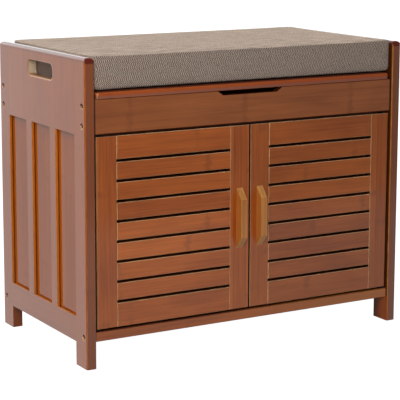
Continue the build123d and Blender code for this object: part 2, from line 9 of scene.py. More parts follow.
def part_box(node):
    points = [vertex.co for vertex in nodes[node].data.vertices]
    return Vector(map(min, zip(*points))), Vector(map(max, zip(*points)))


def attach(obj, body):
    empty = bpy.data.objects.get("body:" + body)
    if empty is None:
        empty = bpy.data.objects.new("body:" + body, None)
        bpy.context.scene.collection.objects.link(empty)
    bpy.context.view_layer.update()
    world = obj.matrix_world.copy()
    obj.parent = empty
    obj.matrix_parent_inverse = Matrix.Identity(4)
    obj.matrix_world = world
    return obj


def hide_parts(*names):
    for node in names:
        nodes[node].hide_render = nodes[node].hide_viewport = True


# Storage bench in varnished bamboo with a linen cushion. Metres, the same frame as the solids.

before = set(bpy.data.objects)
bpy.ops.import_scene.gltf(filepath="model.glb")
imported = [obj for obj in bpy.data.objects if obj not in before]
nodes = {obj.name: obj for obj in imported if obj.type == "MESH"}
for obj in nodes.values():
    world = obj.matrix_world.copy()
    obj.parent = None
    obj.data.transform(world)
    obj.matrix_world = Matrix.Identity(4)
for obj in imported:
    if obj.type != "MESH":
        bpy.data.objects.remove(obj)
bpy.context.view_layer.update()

AXES = {"x": 0, "y": 1, "z": 2}


class Wire:
    """One value on a sheet of nodes. Sums with it add Math nodes."""

    def __init__(self, sheet, socket):
        self.sheet = sheet
        self.socket = socket

    def other(self, key):
        """Another output of the same node."""
        return Wire(self.sheet, self.socket.node.outputs[key])

    def math(self, operation, *others):
        return self.sheet.node("ShaderNodeMath", {"operation": operation}, [self, *others])

    def __add__(self, value):
        return self.math("ADD", value)

    __radd__ = __add__

    def __sub__(self, value):
        return self.math("SUBTRACT", value)

    def __rsub__(self, value):
        return self.sheet.node("ShaderNodeMath", {"operation": "SUBTRACT"}, [value, self])

    def __mul__(self, value):
        return self.math("MULTIPLY", value)

    __rmul__ = __mul__

    def __truediv__(self, value):
        return self.math("DIVIDE", value)

    def __abs__(self):
        return self.math("ABSOLUTE")

    def floor(self):
        return self.math("FLOOR")

    def fraction(self):
        return self.math("FRACT")

    def root(self):
        return self.math("SQRT")

    def least(self, value):
        return self.math("MINIMUM", value)

    def most(self, value):
        return self.math("MAXIMUM", value)

    def held(self):
        """Kept between 0 and 1."""
        return self.most(0.0).least(1.0)

    def ease(self, low, high):
        """0 below low, 1 above high, smooth between. Falls where high is the smaller."""
        settings = {"interpolation_type": "SMOOTHSTEP"}
        if low > high:
            return self.sheet.node("ShaderNodeMapRange", settings, [self, high, low, 1.0, 0.0])
        return self.sheet.node("ShaderNodeMapRange", settings, [self, low, high, 0.0, 1.0])


class Sheet:
    """A sheet of shader nodes."""

    def __init__(self, tree):
        self.tree = tree

    def node(self, kind, settings=None, values=(), output=0):
        """Add a node: its settings first, then the values or links of its sockets."""
        node = self.tree.nodes.new(kind)
        for key, value in (settings or {}).items():
            setattr(node, key, value)
        pairs = values.items() if isinstance(values, dict) else enumerate(values)
        for key, value in pairs:
            if isinstance(value, Wire):
                self.link(value, node.inputs[key])
            else:
                node.inputs[key].default_value = value
        return Wire(self, node.outputs[output])

    def link(self, wire, socket):
        self.tree.links.new(wire.socket, socket)


class Finish(Sheet):
    """A material, its shader, and the colour that is built up on it."""

    def __init__(self, name, **shader_values):
        self.material = bpy.data.materials.new(name)
        self.material.use_nodes = True
        super().__init__(self.material.node_tree)
        self.shader = self.tree.nodes["Principled BSDF"]
        for key, value in shader_values.items():
            self.shader.inputs[key.replace("_", " ")].default_value = value
        self.place = self.node("ShaderNodeTexCoord", output="Object")
        self.x, self.y, self.z = self.parts(self.place)
        self.normal = self.parts(self.place.other("Normal"))
        self.colour = None

    def parts(self, vector):
        first = self.node("ShaderNodeSeparateXYZ", values=[vector])
        return first, first.other(1), first.other(2)

    def stretched(self, vector, scale, shift=(0.0, 0.0, 0.0)):
        return self.node("ShaderNodeVectorMath", {"operation": "MULTIPLY_ADD"}, [vector, scale, shift])

    def noise(self, vector, scale=1.0, detail=2.0, roughness=0.5):
        return self.node("ShaderNodeTexNoise", values={
            "Vector": vector, "Scale": scale, "Detail": detail, "Roughness": roughness,
        })

    def chance(self, number):
        """A random value from 0 to 1 for each number."""
        return self.node("ShaderNodeTexWhiteNoise", {"noise_dimensions": "1D"}, {"W": number})

    def mixed(self, share, first, second):
        return self.node("ShaderNodeMix", {"data_type": "RGBA"}, {0: share, 6: first, 7: second}, output=2)

    def lay(self, colour, share):
        """Lay a colour over what is there, by a share from 0 to 1."""
        self.colour = self.mixed(share, self.colour, colour)

    def edge(self):
        """1 on bevels and rounded edges, 0 on the flat faces of a board."""
        x, y, z = self.normal
        return (1.0 - abs(x).most(abs(y)).most(abs(z))).ease(0.04, 0.2)

    def facing(self, way):
        """1 on faces that look one way, such as -y, or both ways along an axis without a sign."""
        part = self.normal[AXES[way[-1]]]
        if way[0] == "-":
            part = part * -1.0
        elif way[0] != "+":
            part = abs(part)
        return part.ease(0.45, 0.8)

    def feed(self, key, wire):
        self.link(wire, self.shader.inputs[key])

    def relief(self, height, strength, depth):
        bump = self.node("ShaderNodeBump", values={"Strength": strength, "Distance": depth, "Height": height})
        self.feed("Normal", bump)


def rgb(red, green, blue):
    """Linear colour from the usual 0 to 255 values."""
    def linear(value):
        value = value / 255
        return value / 12.92 if value <= 0.04045 else ((value + 0.055) / 1.055) ** 2.4
    return (linear(red), linear(green), linear(blue), 1.0)


def grey(level):
    """Linear grey."""
    return (level, level, level, 1.0)


def tinted(colour, shade):
    """A colour made lighter or darker."""
    return tuple(channel * shade for channel in colour[:3]) + (1.0,)


# Colours of the boards
DARK_BAMBOO = rgb(146, 67, 21)
LIGHT_BAMBOO = rgb(210, 110, 38)
DARK_APRON = rgb(134, 68, 34)
LIGHT_APRON = rgb(194, 110, 54)
DARK_HANDLE = rgb(196, 112, 40)
LIGHT_HANDLE = rgb(241, 160, 76)
NODE_STAIN = rgb(92, 44, 34)
GLUE_LINE = rgb(92, 44, 26)

# Colours of edges, ends and bores, and of the painted light and shade on the boards
# Dark sawn end grain, and painted shade on inner faces, in gaps and in hollows
SAWN_END_AND_PAINTED_SHADE = rgb(62, 26, 14)
# Painted highlights on bevels and rounded edges
PALE_EDGE_HIGHLIGHT = rgb(252, 206, 150)
ORANGE_EDGE_HIGHLIGHT = rgb(236, 130, 48)
BRIGHT_EDGE_HIGHLIGHT = rgb(255, 172, 76)
HANDLE_EDGE_HIGHLIGHT = rgb(246, 186, 104)
# Painted reflection of the window walls on the side panels
PANEL_PAINTED_REFLECTION = rgb(226, 116, 30)
# Painted light and painted shade on the walls of the windows
WINDOW_WALL_PAINTED_LIGHT = rgb(238, 142, 42)
LEDGE_WALL_PAINTED_LIGHT = rgb(176, 104, 34)
DEEP_WALL_PAINTED_SHADE = rgb(76, 29, 8)
# Painted highlights on the slot rim and window lips, painted reflection on the slot's end walls
PALE_RIM_HIGHLIGHT = rgb(226, 170, 122)
CREAM_WALL_REFLECTION = rgb(236, 220, 188)
BORED_WOOD = rgb(242, 194, 146)
BORE_SHADE = rgb(88, 36, 8)
# Painted shade on the rounded top edges, and as a dark red cap on the posts
TOP_EDGE_PAINTED_SHADE = rgb(92, 54, 50)
CAP_PAINTED_SHADE = rgb(112, 26, 8)
MAUVE_PLY = rgb(132, 86, 74)
LEG_ORANGE = rgb(196, 92, 24)
RAIL_ORANGE = rgb(206, 124, 38)
LID_ORANGE = rgb(206, 82, 16)
# Painted reflection on the lower part of the lid's front
LID_PAINTED_REFLECTION = rgb(156, 98, 86)

# Colours of the linen
DARK_YARN = rgb(80, 61, 57)
PALE_YARN = rgb(255, 228, 206)
YARN_GAP = rgb(74, 62, 56)

# Measures of the framed sides and what meets them, from the solids
post_low, post_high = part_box("left_side_front_stile")
mullion_low, mullion_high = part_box("left_side_front_mullion")
board_low, board_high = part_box("left_side_top_board")
HALF_WIDTH = -post_low.x
INNER_HALF = -post_high.x
POST_MIDDLE = (HALF_WIDTH + INNER_HALF) / 2
POST_FRONT = post_low.y
SIDE_TOP = post_high.z
FOOT_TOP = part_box("front_bottom_rail")[0].z
LID_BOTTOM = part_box("lid_board")[0].z
WINDOW_FRONT = post_high.y
WINDOW_BOTTOM = mullion_low.z
WINDOW_TOP = mullion_high.z
WINDOW_WIDTH = mullion_low.y - WINDOW_FRONT
WINDOW_PITCH = mullion_high.y - WINDOW_FRONT
SLOT_MIDDLE = (board_low.y + board_high.y) / 2
SLOT_DROP = 0.03225
SLOT_LEVEL = SIDE_TOP - SLOT_DROP
SLOT_LENGTH = 0.092
SLOT_HEIGHT = 0.0245
SLOT_CORNER = 0.009
SLOT_BOTTOM = SLOT_LEVEL - SLOT_HEIGHT / 2

# Joint bolts, in the middle of the apron and of the rear rail: two near the lid and one near the floor
apron_low, apron_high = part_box("front_apron")
rear_low, rear_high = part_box("rear_top_rail")
bolts_low, bolts_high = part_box("side_bolts")
BOLT_RADIUS = 0.0045
BOLT_SOCKET = 0.0026
BOLT_SPACING = 0.031
FRONT_BOLT = (apron_low.y + apron_high.y) / 2
REAR_BOLT = (rear_low.y + rear_high.y) / 2
UPPER_BOLT = bolts_high.z - BOLT_RADIUS
BOLT_LEVELS = (UPPER_BOLT, UPPER_BOLT - BOLT_SPACING, bolts_low.z + BOLT_RADIUS)

# Widths of the bamboo strips. On a door each slat is one strip, with its edges in the gaps
slats_low, slats_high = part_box("left_door_slats")
STRIP = 0.024
BROAD_STRIP = 0.12
RAIL_STRIP = 0.05
HANDLE_STRIP = 0.006
STILE_STRIP = 0.0234
SLAT_COUNT = 7
SLAT_GAP = 0.0044
SLAT_PITCH = (slats_high.z - slats_low.z + SLAT_GAP) / SLAT_COUNT
SLAT_PHASE = -((slats_low.z - SLAT_GAP / 2) % SLAT_PITCH) / SLAT_PITCH
NODE_PITCH = 0.21
PLY = 0.0036

# How plain the grain of the sides is, and how far each seed moves a board's grain
SIDE_FIGURE = 0.5
GRAIN_STEP = (3.17, 1.71, 2.39)

# Threads of the linen, and how many a dash spans
THREAD_PITCH = 0.0011
DASH_THREADS = 3.0


class Bamboo(Finish):
    """Varnished bamboo: strips pressed side by side, long fibres and stained nodes."""

    def __init__(self, name, along, across, seed, strip=STRIP, phase=0.0, dark=DARK_BAMBOO,
                 light=LIGHT_BAMBOO, shade=1.0, figure=1.0, coat=1.0, gloss=0.14):
        super().__init__(name, Specular_IOR_Level=0.0, Coat_Weight=coat, Coat_Roughness=gloss, Coat_IOR=1.55)
        self.along = along
        self.coat = coat
        self.shift = tuple(seed * step for step in GRAIN_STEP)
        axes = (self.x, self.y, self.z)

        strip_place = axes[AXES[across]] / strip + phase
        luck = self.chance(strip_place.floor() + seed * 7.3)
        glue = abs(strip_place.fraction() - 0.5).ease(0.47, 0.5)
        fibres = self.grain(260.0, 7.0, detail=4.0, roughness=0.65)
        hairs = self.grain(1500.0, 32.0)
        clouds = self.grain(26.0, 7.0, detail=3.0)
        self.ragged = self.grain(150.0, 60.0)
        node_place = axes[AXES[along]] / NODE_PITCH + luck * 5.3 + seed * 0.37
        node_gap = abs(node_place.fraction() - 0.5) * NODE_PITCH
        stain = (node_gap + (self.ragged - 0.5) * 0.02).ease(0.008, 0.001) * clouds.ease(0.38, 0.62)

        fine = (fibres - 0.5) * 0.9 * figure + (hairs - 0.5) * 0.3
        tone = 0.5 + ((luck - 0.5) * 0.34 + (clouds - 0.5) * 0.9 + fine) * figure
        self.colour = self.mixed(tone.held(), tinted(dark, shade), tinted(light, shade))
        self.lay(NODE_STAIN, stain * 0.26 * figure)
        self.lay(GLUE_LINE, glue * 0.3 * figure)
        self.feed("Roughness", 0.42 + (fibres - 0.5) * 0.2 + stain * 0.06)
        height = fibres * 0.5 + hairs * 0.3 + stain * 0.5 - glue * 0.6
        if along == "z":
            height = height * (1.0 - self.facing("z"))
        self.relief(height, 0.22, 0.0003)

    def grain(self, fast, slow, **look):
        """Noise drawn out along the board, fast across it and slow along it."""
        scale = tuple(slow if axis == self.along else fast for axis in AXES)
        return self.noise(self.stretched(self.place, scale, self.shift), **look)

    def thin_varnish(self, bare):
        """Less varnish on faces that look one way, by how bare they are."""
        varnish = self.coat
        for way, share in bare.items():
            varnish = (1.0 - self.facing(way) * share) * varnish
        self.feed("Coat Weight", varnish)


# Touches on a finish: each lays one or more colours on it, many of them painted highlights, painted
# reflections or painted shade


def sawn_ends_and_painted_shade(ways):
    """Darker faces, by the way they look and how dark they are: sawn end grain, and painted shade on inner
    faces, in gaps, in hollows and under the cushion.
    """
    def touch(wood):
        for way, share in ways.items():
            wood.lay(SAWN_END_AND_PAINTED_SHADE, wood.facing(way) * share)
    return touch


def painted_edge_highlights(share, colour=PALE_EDGE_HIGHLIGHT, level_share=0.9):
    """Pale lines painted on the bevels and rounded edges as painted highlights. Where they look up or down,
    only the level share of it.
    """
    def touch(wood):
        level = abs(wood.normal[2]).ease(0.3, 0.6)
        highlit = wood.edge() * (0.7 + (wood.ragged - 0.5) * 0.9) * (1.0 - level * (1.0 - level_share))
        wood.lay(colour, (highlit * share).held())
    return touch


def window_walls(ways, lit=WINDOW_WALL_PAINTED_LIGHT):
    """Walls of the windows in a side: painted light at the mouth and painted shade near the panel."""
    def touch(wood):
        wall = functools.reduce(Wire.most, [wood.facing(way) for way in ways])
        wall = wall * wood.z.ease(WINDOW_BOTTOM - 0.003, WINDOW_BOTTOM - 0.001)
        depth = HALF_WIDTH - abs(wood.x)
        tone = wood.mixed(depth.ease(0.0033, 0.0044), lit, DEEP_WALL_PAINTED_SHADE)
        wood.lay(tone, wall * (0.75 + (wood.ragged - 0.5) * 0.5))
    return touch


def window_place(y):
    """How far a point lies behind the front wall of its window, in metres."""
    return ((y - WINDOW_FRONT) / WINDOW_PITCH).fraction() * WINDOW_PITCH


def painted_panel_reflection(wood):
    """Painted reflection: each panel is brighter orange beside the rear wall of its window."""
    rear_gap = WINDOW_WIDTH - window_place(wood.y)
    wood.lay(PANEL_PAINTED_REFLECTION, rear_gap.ease(0.0117, 0.0109) * rear_gap.ease(0.0021, 0.0028) * 0.9)


def bolt_gap(aside, z):
    """Distance from the axis of the nearest bolt, for a point that lies this far to its side."""
    gaps = [(aside * aside + (z - level) * (z - level)).root() for level in BOLT_LEVELS]
    return functools.reduce(Wire.least, gaps)


def bolt_shade(z):
    """1 on the upper part of a sunk bolt and its bore, which lies in shade."""
    shades = [(z - level).ease(0.0, 0.0025) * (z - level).ease(0.0065, 0.006) for level in BOLT_LEVELS]
    return functools.reduce(Wire.most, shades)


def bolt_bores(bolt_y):
    """Pale bored wood around the bolts of a stile, with painted shade on its upper part."""
    def touch(wood):
        bored = bolt_gap(wood.y - bolt_y, wood.z).ease(BOLT_RADIUS + 0.0009, BOLT_RADIUS + 0.0004)
        wood.lay(wood.mixed(bolt_shade(wood.z), BORED_WOOD, BORE_SHADE), bored * 0.85)
    return touch


def bolt_face(metal):
    """Painted shade in the socket and on the upper part of a bolt head."""
    aside = abs(metal.y - (FRONT_BOLT + REAR_BOLT) / 2) - (REAR_BOLT - FRONT_BOLT) / 2
    socket = bolt_gap(aside, metal.z).ease(BOLT_SOCKET + 0.0003, BOLT_SOCKET - 0.0003)
    metal.lay(BORE_SHADE, socket.most(bolt_shade(metal.z)) * 0.9)


def painted_top_edge_shade(wood):
    """Painted shade on the rounded top edge of a side."""
    wood.lay(TOP_EDGE_PAINTED_SHADE, wood.z.ease(SIDE_TOP - 0.009, SIDE_TOP - 0.003) * 0.65)


def post_front(wood):
    """Narrow plies on the front of a post, orange inside its foot, painted shade on its rounded top edge, and
    a dark red cap of painted shade on its rounded top.
    """
    ply = wood.chance((wood.x / PLY).floor() + 3.0)
    wood.lay(MAUVE_PLY, wood.facing("-y") * ply * 0.6)
    painted_top_edge_shade(wood)
    inward = (wood.normal[0] * wood.x / -POST_MIDDLE).ease(0.45, 0.8)
    foot = wood.z.ease(FOOT_TOP + 0.0025, FOOT_TOP - 0.0025)
    wood.lay(LEG_ORANGE, inward * foot * (wood.y - POST_FRONT).ease(0.036, 0.011) * 0.8)
    cap = wood.z.ease(SIDE_TOP - 0.0095, SIDE_TOP - 0.0075) * (1.0 - wood.facing("x"))
    wood.lay(CAP_PAINTED_SHADE, cap * 0.9)


def slot_painted_light(wood):
    """Painted highlights on the rim of the hand slot and on a lip over each window, a painted reflection on
    the slot's cream end walls, and painted shade on the top edge.
    """
    painted_top_edge_shade(wood)
    across = (abs(wood.y - SLOT_MIDDLE) - (SLOT_LENGTH / 2 - SLOT_CORNER)).most(0.0)
    up = (abs(wood.z - SLOT_LEVEL) - (SLOT_HEIGHT / 2 - SLOT_CORNER)).most(0.0)
    rim = (across * across + up * up).root().ease(SLOT_CORNER + 0.0028, SLOT_CORNER + 0.0015)
    wood.lay(PALE_RIM_HIGHLIGHT, rim * 0.55)
    lip = wood.z.ease(WINDOW_TOP + 0.0014, WINDOW_TOP + 0.0008) * wood.facing("x")
    wood.lay(PALE_RIM_HIGHLIGHT, lip * window_place(wood.y).ease(WINDOW_WIDTH + 0.0004, WINDOW_WIDTH - 0.0005) * 0.4)
    depth = HALF_WIDTH - abs(wood.x)
    inside = depth.ease(0.0005, 0.003) * depth.ease(0.016, 0.013)
    above_windows = wood.z.ease(SLOT_BOTTOM - 0.0055, SLOT_BOTTOM - 0.0025)
    wood.lay(CREAM_WALL_REFLECTION, wood.facing("-y") * inside * above_windows * 0.85)


def apron_end_shadows(wood):
    """Painted shadow lines where the apron meets the sides."""
    wood.lay(SAWN_END_AND_PAINTED_SHADE, abs(wood.x).ease(INNER_HALF - 0.0033, INNER_HALF - 0.0024) * 0.9)


def rail_tone(wood):
    """The rail under the doors turns more orange towards the right."""
    wood.lay(RAIL_ORANGE, wood.x.ease(-0.15, 0.28) * 0.45)


def lid_nose(wood):
    """The lid's rounded front: orange on its upper part and a painted reflection on its lower part, and
    painted shade on its top under the cushion.
    """
    front = (wood.normal[1] * -1.0).ease(0.1, 0.4)
    upper = wood.z.ease(LID_BOTTOM + 0.0036, LID_BOTTOM + 0.0054)
    wood.lay(LID_ORANGE, front * upper * 0.5)
    wood.lay(LID_PAINTED_REFLECTION, front * (1.0 - upper) * 0.55)
    wood.lay(SAWN_END_AND_PAINTED_SHADE, wood.facing("+z") * 0.9)


def steel(name, colour, roughness, metallic=1.0, touches=()):
    """Plated steel with faint turning marks."""
    metal = Finish(name, Metallic=metallic)
    marks = metal.noise(metal.stretched(metal.place, (900.0, 140.0, 140.0)), detail=3.0)
    dull = metal.noise(metal.place, scale=90.0, detail=3.0)
    metal.colour = metal.mixed(dull, colour, tinted(colour, 0.72))
    for touch in touches:
        touch(metal)
    metal.feed("Base Color", metal.colour)
    metal.feed("Roughness", roughness + (dull - 0.5) * 0.2 + (marks - 0.5) * 0.12)
    metal.relief(marks, 0.12, 0.0001)
    return metal.material


def nylon():
    """Moulded nylon with a faint grain."""
    finish = Finish("black_nylon", Specular_IOR_Level=0.1)
    grain = finish.noise(finish.place, scale=700.0)
    finish.feed("Base Color", finish.mixed(grain, rgb(12, 11, 11), rgb(24, 23, 22)))
    finish.feed("Roughness", 0.62 + grain * 0.16)
    finish.relief(grain, 0.1, 0.0001)
    return finish.material


def grip_tape():
    """Black hook and loop tape with a fuzzy face."""
    finish = Finish("black_grip_tape", Sheen_Weight=0.4)
    hooks = finish.noise(finish.place, scale=1400.0, detail=3.0, roughness=0.7)
    finish.feed("Base Color", finish.mixed(hooks, rgb(18, 18, 19), rgb(58, 57, 58)))
    finish.feed("Roughness", 0.8 + hooks * 0.15)
    finish.relief(hooks, 0.8, 0.0006)
    return finish.material


def linen():
    """Coarse flecked linen: each crossing has its own shade, with broken dashes along the weft."""
    finish = Finish("melange_linen", Sheen_Weight=0.25, Sheen_Roughness=0.5, Specular_IOR_Level=0.2)
    u, v, _ = finish.parts(finish.place.other("UV"))
    wander = (finish.noise(finish.place, scale=60.0) - 0.5) * 0.6
    warp_place = u / THREAD_PITCH + wander
    weft_place = v / THREAD_PITCH + wander
    warp_number = warp_place.floor()
    weft_number = weft_place.floor()
    over = ((warp_number + weft_number) / 2.0).fraction().ease(0.24, 0.26)
    warp_round = 1.0 - abs(warp_place.fraction() - 0.5) * 2.0
    weft_round = 1.0 - abs(weft_place.fraction() - 0.5) * 2.0
    height = warp_round * over + weft_round * (1.0 - over)

    luck = finish.chance(warp_number * 1.37 + weft_number * 57.31)
    start = weft_number * 0.36 + finish.chance(weft_number * 7.13) * 0.6
    dash = abs((warp_place / DASH_THREADS + start).fraction() - 0.5).ease(0.1, 0.4)
    streak = finish.noise(finish.stretched(finish.place, (28.0, 170.0, 28.0)), detail=3.0, roughness=0.65)
    slub = finish.noise(finish.place, scale=1500.0, roughness=0.6)
    patch = finish.noise(finish.place, scale=9.0, detail=3.0)
    top = finish.facing("+z")
    fleck = (luck - 0.5) * 0.6 + (dash - 0.5) * 1.15
    shade = 0.5 + fleck * (1.0 - top * 0.66) + (streak - 0.5) * top + (patch - 0.5) * 0.06
    finish.colour = finish.mixed(shade.held(), DARK_YARN, PALE_YARN)
    finish.lay(YARN_GAP, height.ease(0.35, 0.0) * 0.45)
    finish.feed("Base Color", finish.colour)
    finish.feed("Roughness", 0.88 + (slub - 0.5) * 0.1)
    finish.relief(height + slub * 0.6, 0.7, 0.0007)
    return finish.material


def dress(node, material):
    """Give a solid its finish."""
    slots = nodes[node].data.materials
    slots.clear()
    slots.append(material)


def dress_board(node, along, across, seed, touches=(), bare=None, **look):
    """Dress a board in bamboo, with its touches laid on in turn."""
    wood = Bamboo(f"bamboo_{node}", along, across, seed, **look)
    for touch in touches:
        touch(wood)
    if bare:
        wood.thin_varnish(bare)
    wood.feed("Base Color", wood.colour)
    dress(node, wood.material)


def dress_sides(seeds):
    """Framed sides. The grain stands upright, except in the bottom rail."""
    for hand, inner, edge in (("left", "+x", ORANGE_EDGE_HIGHLIGHT), ("right", "-x", BRIGHT_EDGE_HIGHLIGHT)):
        inside = {inner: 0.85}
        for name, bolt_y, wall, head in (
            ("front_stile", FRONT_BOLT, "+y", post_front), ("rear_stile", REAR_BOLT, "-y", painted_top_edge_shade),
        ):
            # Posts: painted shade on the inner faces and fronts, painted light and shade on the window walls,
            # painted highlights on the upright edges, painted shade in the bolt bores
            dress_board(f"{hand}_side_{name}", "z", "y", next(seeds), [
                sawn_ends_and_painted_shade({"-y": 0.3, "z": 0.95, inner: 0.8}), window_walls([wall]),
                painted_edge_highlights(0.9, edge, level_share=0.0), bolt_bores(bolt_y), head,
            ], {**inside, "+z": 0.2}, figure=SIDE_FIGURE)
        # Top board: dark end grain on the top, painted light and shade on the window walls, painted
        # highlights, reflection and shade at the slot and top edge
        dress_board(f"{hand}_side_top_board", "z", "y", next(seeds), [
            sawn_ends_and_painted_shade({"+z": 0.95}), window_walls(["-z", "y"]), slot_painted_light,
        ], {**inside, "+z": 0.2}, figure=SIDE_FIGURE)
        # Painted light on the window ledges
        dress_board(f"{hand}_side_bottom_rail", "y", "z", next(seeds), [
            window_walls(["+z"], LEDGE_WALL_PAINTED_LIGHT),
        ], {**inside, "+z": 0.85}, shade=0.9, figure=SIDE_FIGURE)
        for name in ("front_mullion", "rear_mullion"):
            # Painted light and shade on the window walls
            dress_board(f"{hand}_side_{name}", "z", "y", next(seeds), [window_walls(["y"])], inside,
                        figure=SIDE_FIGURE)
        for name in ("front_panel", "middle_panel", "rear_panel"):
            # Painted reflection beside the rear wall of each window
            dress_board(f"{hand}_side_{name}", "z", "y", next(seeds), [painted_panel_reflection], inside,
                        coat=0.7, gloss=0.05, figure=SIDE_FIGURE)


def dress_carcass(seeds):
    """Boards between the sides, and the lid. The grain runs across the bench, except in the back."""
    boards = (
        # Painted shade on the apron's top, bottom and notch, and painted shadow lines at its ends
        ("front_apron", "x", "z", {
            "touches": [sawn_ends_and_painted_shade({"z": 0.8, "x": 0.8}), apron_end_shadows],
            "strip": BROAD_STRIP, "dark": DARK_APRON, "light": LIGHT_APRON,
        }),
        ("rear_top_rail", "x", "z", {}),
        # The stop rail is darkened as painted shade, seen only through the gaps of the doors
        ("door_stop_rail", "x", "z", {"shade": 0.35}),
        ("rear_floor_cleat", "x", "z", {}),
        ("compartment_floor", "x", "y", {}),
        ("middle_shelf", "x", "y", {}),
        ("bottom_board", "x", "y", {}),
        # Painted shade on the rail's top, in the gap under the doors
        ("front_bottom_rail", "x", "z", {
            "touches": [sawn_ends_and_painted_shade({"+z": 0.85}), rail_tone], "strip": BROAD_STRIP,
        }),
        ("rear_bottom_rail", "x", "z", {"strip": BROAD_STRIP}),
        ("back_panel", "z", "x", {}),
        # Painted highlights on the lid's edges, painted reflection on its front, painted shade on its top
        ("lid_board", "x", "y", {"touches": [painted_edge_highlights(0.9, level_share=0.0), lid_nose]}),
        ("rail_dowels", "x", "z", {}),
    )
    for node, along, across, look in boards:
        dress_board(node, along, across, next(seeds), **look)


def dress_doors(seeds):
    """Louvred doors. The left one is made lighter as painted light, and its outer stile has less painted edge
    highlight.
    """
    # The left door's shade of 1.2 is painted light
    for hand, turn, shade, outer_highlight in (("left", -1, 1.2, 0.4), ("right", 1, 1.0, 0.8)):
        for name, along, across, strip, phase, highlight in (
            ("outer_stile", "z", "x", STILE_STRIP, 0.03 * turn, outer_highlight),
            ("inner_stile", "z", "x", STRIP, 0.3, 0.7),
            ("top_rail", "x", "z", RAIL_STRIP, 0.5, 1.0),
            ("bottom_rail", "x", "z", RAIL_STRIP, 0.0, 1.0),
            ("slats", "x", "z", SLAT_PITCH, SLAT_PHASE, 1.0),
        ):
            # Painted shade on the faces in the gaps between slats, rails and stiles
            gap_shade_faces = {"z": 0.8, "x": 0.9} if along == "z" else {"z": 0.8}
            dress_board(f"{hand}_door_{name}", along, across, next(seeds), [
                sawn_ends_and_painted_shade(gap_shade_faces), painted_edge_highlights(highlight),
            ], strip=strip, phase=phase, shade=shade)
        # Painted highlights on the handles' edges
        dress_board(f"{hand}_door_handle", "z", "x", next(seeds), [painted_edge_highlights(0.6, HANDLE_EDGE_HIGHLIGHT)],
                    strip=HANDLE_STRIP, dark=DARK_HANDLE, light=LIGHT_HANDLE)


def dress_hardware():
    """Steel, nylon and tape."""
    zinc = steel("plated_steel", rgb(206, 204, 200), 0.32)
    for node in ("barrel_nuts", "shelf_pins", "hinge_rail_leaves", "hinge_lid_leaves", "hinge_pins",
                 "hinge_rail_screws", "hinge_lid_screws", "door_magnets"):
        dress(node, zinc)
    dress("side_bolts", steel("brassed_bolt", rgb(248, 210, 168), 0.45, metallic=0.35, touches=[bolt_face]))
    black = steel("blackened_steel", rgb(40, 38, 37), 0.6)
    for hand in ("left", "right"):
        dress(f"{hand}_door_handle_screws", zinc)
        dress(f"{hand}_door_catch_plate", zinc)
        dress(f"{hand}_door_pivot_pins", black)
    dress("pivot_bushes", nylon())
    dress("cushion_grip_strips", grip_tape())


# The cushion: cells across, deep and tall, and the rounding of its block
CELLS = (112, 62, 11)
SEAM_CELL = 0.0016
CROWN = 0.0035
CROWN_RUN = 0.13
CORNER = 0.006
FOOT = 0.004

# How far the cover may move, bulge past the foam's sides and front, and lie right of the middle
COVER_MOVE = 0.0012
SIDE_BULGE = 0.0006
FRONT_BULGE = 0.0008
OFF_MIDDLE = 0.0006


def only(piece):
    """Select one piece alone and make it the active one."""
    bpy.ops.object.select_all(action="DESELECT")
    piece.select_set(True)
    bpy.context.view_layer.objects.active = piece


def swell(piece, frames, pressure):
    """Blow the cover up with cloth, and keep every point near where it started."""
    start = [point.co.copy() for point in piece.data.vertices]
    only(piece)
    cloth = piece.modifiers.new("Cover", "CLOTH")
    cloth.settings.quality = 6
    cloth.settings.mass = 0.4
    cloth.settings.tension_stiffness = 30
    cloth.settings.compression_stiffness = 30
    cloth.settings.shear_stiffness = 12
    cloth.settings.bending_stiffness = 4
    cloth.settings.use_pressure = True
    cloth.settings.uniform_pressure_force = pressure
    cloth.settings.effector_weights.gravity = 0
    cloth.point_cache.frame_start = 1
    cloth.point_cache.frame_end = frames
    scene = bpy.context.scene
    for number in range(1, frames + 1):
        scene.frame_set(number)
    bpy.ops.object.modifier_apply(modifier=cloth.name)
    scene.frame_set(1)
    for point, first in zip(piece.data.vertices, start):
        move = point.co - first
        if move.length > COVER_MOVE:
            point.co = first + move * (COVER_MOVE / move.length)


def tight(share, cells, first):
    """A place from 0 to 1 on an even grid, moved so that the first and the last cell are narrow."""
    index = round(share * cells)
    if index in (0, cells):
        return index / cells
    return first + (1.0 - 2.0 * first) * (index - 1) / (cells - 2)


def foam_point(share, low, high):
    """Where a point of an even block lies on the cushion: tight seams, round corners, a low crown."""
    half = (high - low) / 2.0
    middle = (high + low) / 2.0
    rim = high.z - low.z - CROWN
    x = (tight(share.x, CELLS[0], SEAM_CELL / half.x / 2.0) * 2.0 - 1.0) * half.x
    y = (tight(share.y, CELLS[1], SEAM_CELL / half.y / 2.0) * 2.0 - 1.0) * half.y
    up = tight(share.z, CELLS[2], SEAM_CELL / rim)
    wall = min(half.x - abs(x), half.y - abs(y))
    beyond_x = max(abs(x) - (half.x - CORNER), 0.0)
    beyond_y = max(abs(y) - (half.y - CORNER), 0.0)
    if beyond_x and beyond_y:
        pull = max(beyond_x, beyond_y) / math.hypot(beyond_x, beyond_y)
        x = math.copysign(half.x - CORNER + beyond_x * pull, x)
        y = math.copysign(half.y - CORNER + beyond_y * pull, y)
    rise = up * rim
    if rise < FOOT:
        inset = FOOT - math.sqrt(FOOT * FOOT - (FOOT - rise) ** 2)
        x *= 1.0 - inset / half.x
        y *= 1.0 - inset / half.y
    lift = 1.0 - (1.0 - min(wall / CROWN_RUN, 1.0)) ** 2
    return Vector((middle.x + x, middle.y + y, low.z + rise + CROWN * lift * up))


